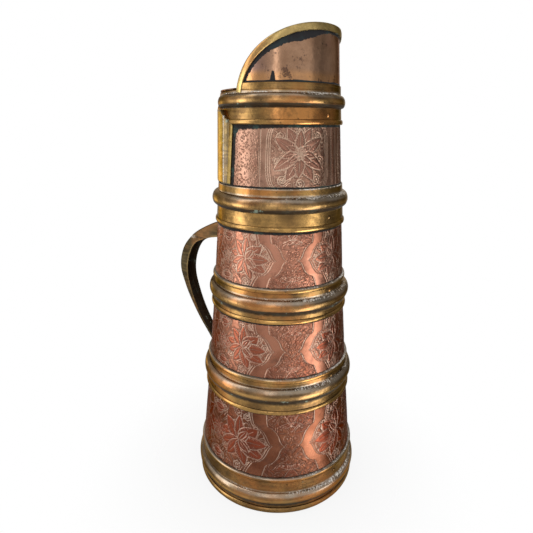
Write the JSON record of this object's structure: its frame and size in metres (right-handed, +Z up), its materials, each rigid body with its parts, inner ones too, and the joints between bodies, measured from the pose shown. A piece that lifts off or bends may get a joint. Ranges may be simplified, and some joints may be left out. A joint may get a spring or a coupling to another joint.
{
  "type": "lidded copper ewer",
  "caption": "Tall tapering copper ewer with brass hoops, a raised curved pouring lip, a strap handle and a domed lid hinged at the back.",
  "frame": {"origin": "middle of the foot, on the plane that the ewer stands on", "axes": "+Z up along the body's axis, +X towards the pouring lip, -X towards the handle and the lid's hinge"},
  "size_m": [0.2312, 0.1778, 0.4558],
  "materials": {
    "copper_engraved": "old patinated sheet copper with worn chased ornament",
    "copper_plain": "old patinated sheet copper, smooth",
    "copper_lid": "old patinated sheet copper, smooth",
    "brass_bright": "worn golden brass",
    "brass_dark": "dark aged brass",
    "brass_hoop": "aged golden-brown brass with dark grime",
    "brass_moulding": "aged brass, grey solder along its top edge",
    "brass_handle": "dull olive brass"
  },
  "bodies": {
    "vessel": {"base_plate": "copper_plain", "drum_1": "copper_engraved", "drum_2": "copper_engraved", "drum_3": "copper_engraved", "drum_4": "copper_engraved", "hood": "copper_plain", "hood_edge": "brass_bright", "lid_rest": "brass_dark", "hoop_1": "brass_hoop", "hoop_2": "brass_hoop", "hoop_3": "brass_hoop", "hoop_4": "brass_hoop", "hoop_5": "brass_hoop", "moulding_1": "brass_moulding", "moulding_2": "brass_moulding", "moulding_3": "brass_moulding", "moulding_4": "brass_moulding", "moulding_5": "brass_moulding", "hoop_rivets": "copper_plain", "neck_jacket": "brass_bright", "handle_arm": "brass_handle", "handle_grip": "brass_handle", "hinge_bracket": "brass_dark", "bracket_rivets": "brass_bright", "hinge_pin": "brass_dark"},
    "lid": {"lid_plate": "copper_lid", "lid_knob": "brass_bright", "lid_leaf": "brass_dark", "leaf_rivets": "brass_bright"}
  },
  "joints": [
    {"name": "lid_hinge", "type": "hinge", "parent": "vessel", "child": "lid", "pos_m": [-0.06127, 0, 0.4059], "axis": [0, -1, 0], "range_deg": [0, 105]}
  ]
}
